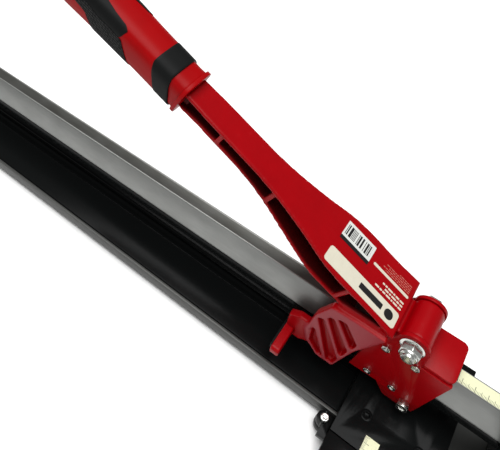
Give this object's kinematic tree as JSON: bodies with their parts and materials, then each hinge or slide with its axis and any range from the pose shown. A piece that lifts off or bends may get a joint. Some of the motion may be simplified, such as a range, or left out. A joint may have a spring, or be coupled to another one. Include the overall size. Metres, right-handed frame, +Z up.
{
  "type": "manual tile cutter",
  "caption": "Single-rail manual tile cutter with a bearing carriage, cast lever with breaker and cutting wheel, sprung tables and a folding side arm.",
  "frame": {"origin": "lower face of the centre foot, on the feet plane under the middle of the rail", "axes": "+X along the rail towards the front fence, +Z up, +Y to the far side, away from the side arm"},
  "size_m": [1.44, 0.386, 0.313],
  "materials": {
    "grey_edge": "satin dark grey anodised",
    "black_gloss": "gloss black enamel",
    "bright_steel": "bright machined steel",
    "ground_steel": "ground steel with fine lengthwise marks",
    "zinc": "bright zinc plate",
    "black_rubber": "matt moulded rubber",
    "scale_tape": "pale yellow printed tape",
    "red_enamel": "gloss red enamel over a casting",
    "red_plastic": "moulded red plastic",
    "bronze": "plain bronze",
    "label_film": "cream printed film"
  },
  "bodies": {
    "base": {"base_channel": "grey_edge", "centre_bar": "black_gloss", "breaking_ridge": "black_gloss", "rubber_springs_near": "black_rubber", "rubber_springs_far": "black_rubber", "rubber_feet": "black_rubber", "rail_steel": "ground_steel", "rail_body": "black_gloss", "rear_post": "black_gloss", "front_post": "black_gloss", "rail_bolts": "zinc", "post_screws": "zinc", "front_buffer": "black_rubber", "rear_buffer": "black_rubber", "rail_scale": "scale_tape", "front_casting": "black_gloss", "casting_screws": "black_gloss", "fence_ruler": "scale_tape", "arm_pivot_screw": "zinc"},
    "table_near": {"table_near": "black_gloss"},
    "table_far": {"table_far": "black_gloss"},
    "side_arm": {"side_arm": "black_gloss", "arm_ruler": "scale_tape", "arm_foot": "black_rubber"},
    "measuring_stop": {"measuring_stop": "black_gloss"},
    "stop_knob": {"stop_knob": "red_plastic"},
    "carriage": {"cheek_near": "red_enamel", "cheek_far": "red_enamel", "carriage_block": "red_enamel", "carriage_spacer": "zinc", "bearing_axles": "zinc", "bearing_sleeves": "zinc", "set_screws": "zinc", "tie_bolt": "zinc", "pivot_bolt": "zinc", "pivot_nut": "zinc", "pivot_washer": "zinc"},
    "lever": {"lever": "red_enamel", "pivot_bush": "bronze", "breaker_bar": "red_enamel", "breaker_strips": "black_rubber", "wheel_holder": "bright_steel", "holder_screw": "zinc", "wheel_pin": "bright_steel", "grip_collar": "red_plastic", "grip_core": "red_plastic", "grip_band": "black_rubber", "grip_inlay_near": "black_rubber", "grip_inlay_far": "black_rubber", "grip_end_cap": "black_rubber", "labels": "label_film"},
    "cutting_wheel": {"cutting_wheel": "bright_steel"},
    "bearing_top_rear": {"bearing_top_rear": "bright_steel"},
    "bearing_top_front": {"bearing_top_front": "bright_steel"},
    "bearing_low_rear": {"bearing_low_rear": "bright_steel"},
    "bearing_low_front": {"bearing_low_front": "bright_steel"}
  },
  "joints": [
    {"name": "carriage_slide", "type": "slide", "parent": "base", "child": "carriage", "axis": [1, 0, 0], "range_m": [-1.165, 0.04]},
    {"name": "lever_pivot", "type": "hinge", "parent": "carriage", "child": "lever", "pos_m": [0.587, 0, 0.1227], "axis": [0, 1, 0], "range_deg": [-18, 0], "stiffness_Nm_per_rad": 6, "springref_deg": 40.11},
    {"name": "wheel_spin", "type": "hinge", "parent": "lever", "child": "cutting_wheel", "pos_m": [0.528, 0, 0.047], "axis": [0, 1, 0], "continuous": true},
    {"name": "bearing_top_rear_spin", "type": "hinge", "parent": "carriage", "child": "bearing_top_rear", "pos_m": [0.573, 0, 0.1006], "axis": [0, 1, 0], "continuous": true},
    {"name": "bearing_top_front_spin", "type": "hinge", "parent": "carriage", "child": "bearing_top_front", "pos_m": [0.597, 0, 0.1006], "axis": [0, 1, 0], "continuous": true},
    {"name": "bearing_low_rear_spin", "type": "hinge", "parent": "carriage", "child": "bearing_low_rear", "pos_m": [0.57, 0, 0.0534], "axis": [0, 1, 0], "continuous": true},
    {"name": "bearing_low_front_spin", "type": "hinge", "parent": "carriage", "child": "bearing_low_front", "pos_m": [0.592, 0, 0.0534], "axis": [0, 1, 0], "continuous": true},
    {"name": "table_near_sink", "type": "slide", "parent": "base", "child": "table_near", "axis": [0, 0, -1], "range_m": [0, 0.003], "stiffness_N_per_m": 4000, "springref_m": -0.01, "deforming": ["rubber_springs_near"]},
    {"name": "table_far_sink", "type": "slide", "parent": "base", "child": "table_far", "axis": [0, 0, -1], "range_m": [0, 0.003], "stiffness_N_per_m": 4000, "springref_m": -0.01, "deforming": ["rubber_springs_far"]},
    {"name": "arm_swing", "type": "hinge", "parent": "base", "child": "side_arm", "pos_m": [0.5593, -0.0611, 0.019], "axis": [0, 0, 1], "range_deg": [-90, 0]},
    {"name": "stop_slide", "type": "slide", "parent": "side_arm", "child": "measuring_stop", "axis": [0, 1, 0], "range_m": [-0.085, 0.13]},
    {"name": "stop_knob_turn", "type": "hinge", "parent": "measuring_stop", "child": "stop_knob", "pos_m": [0.6125, -0.22, 0.04], "axis": [0, 0, 1], "range_deg": [0, 180]}
  ]
}
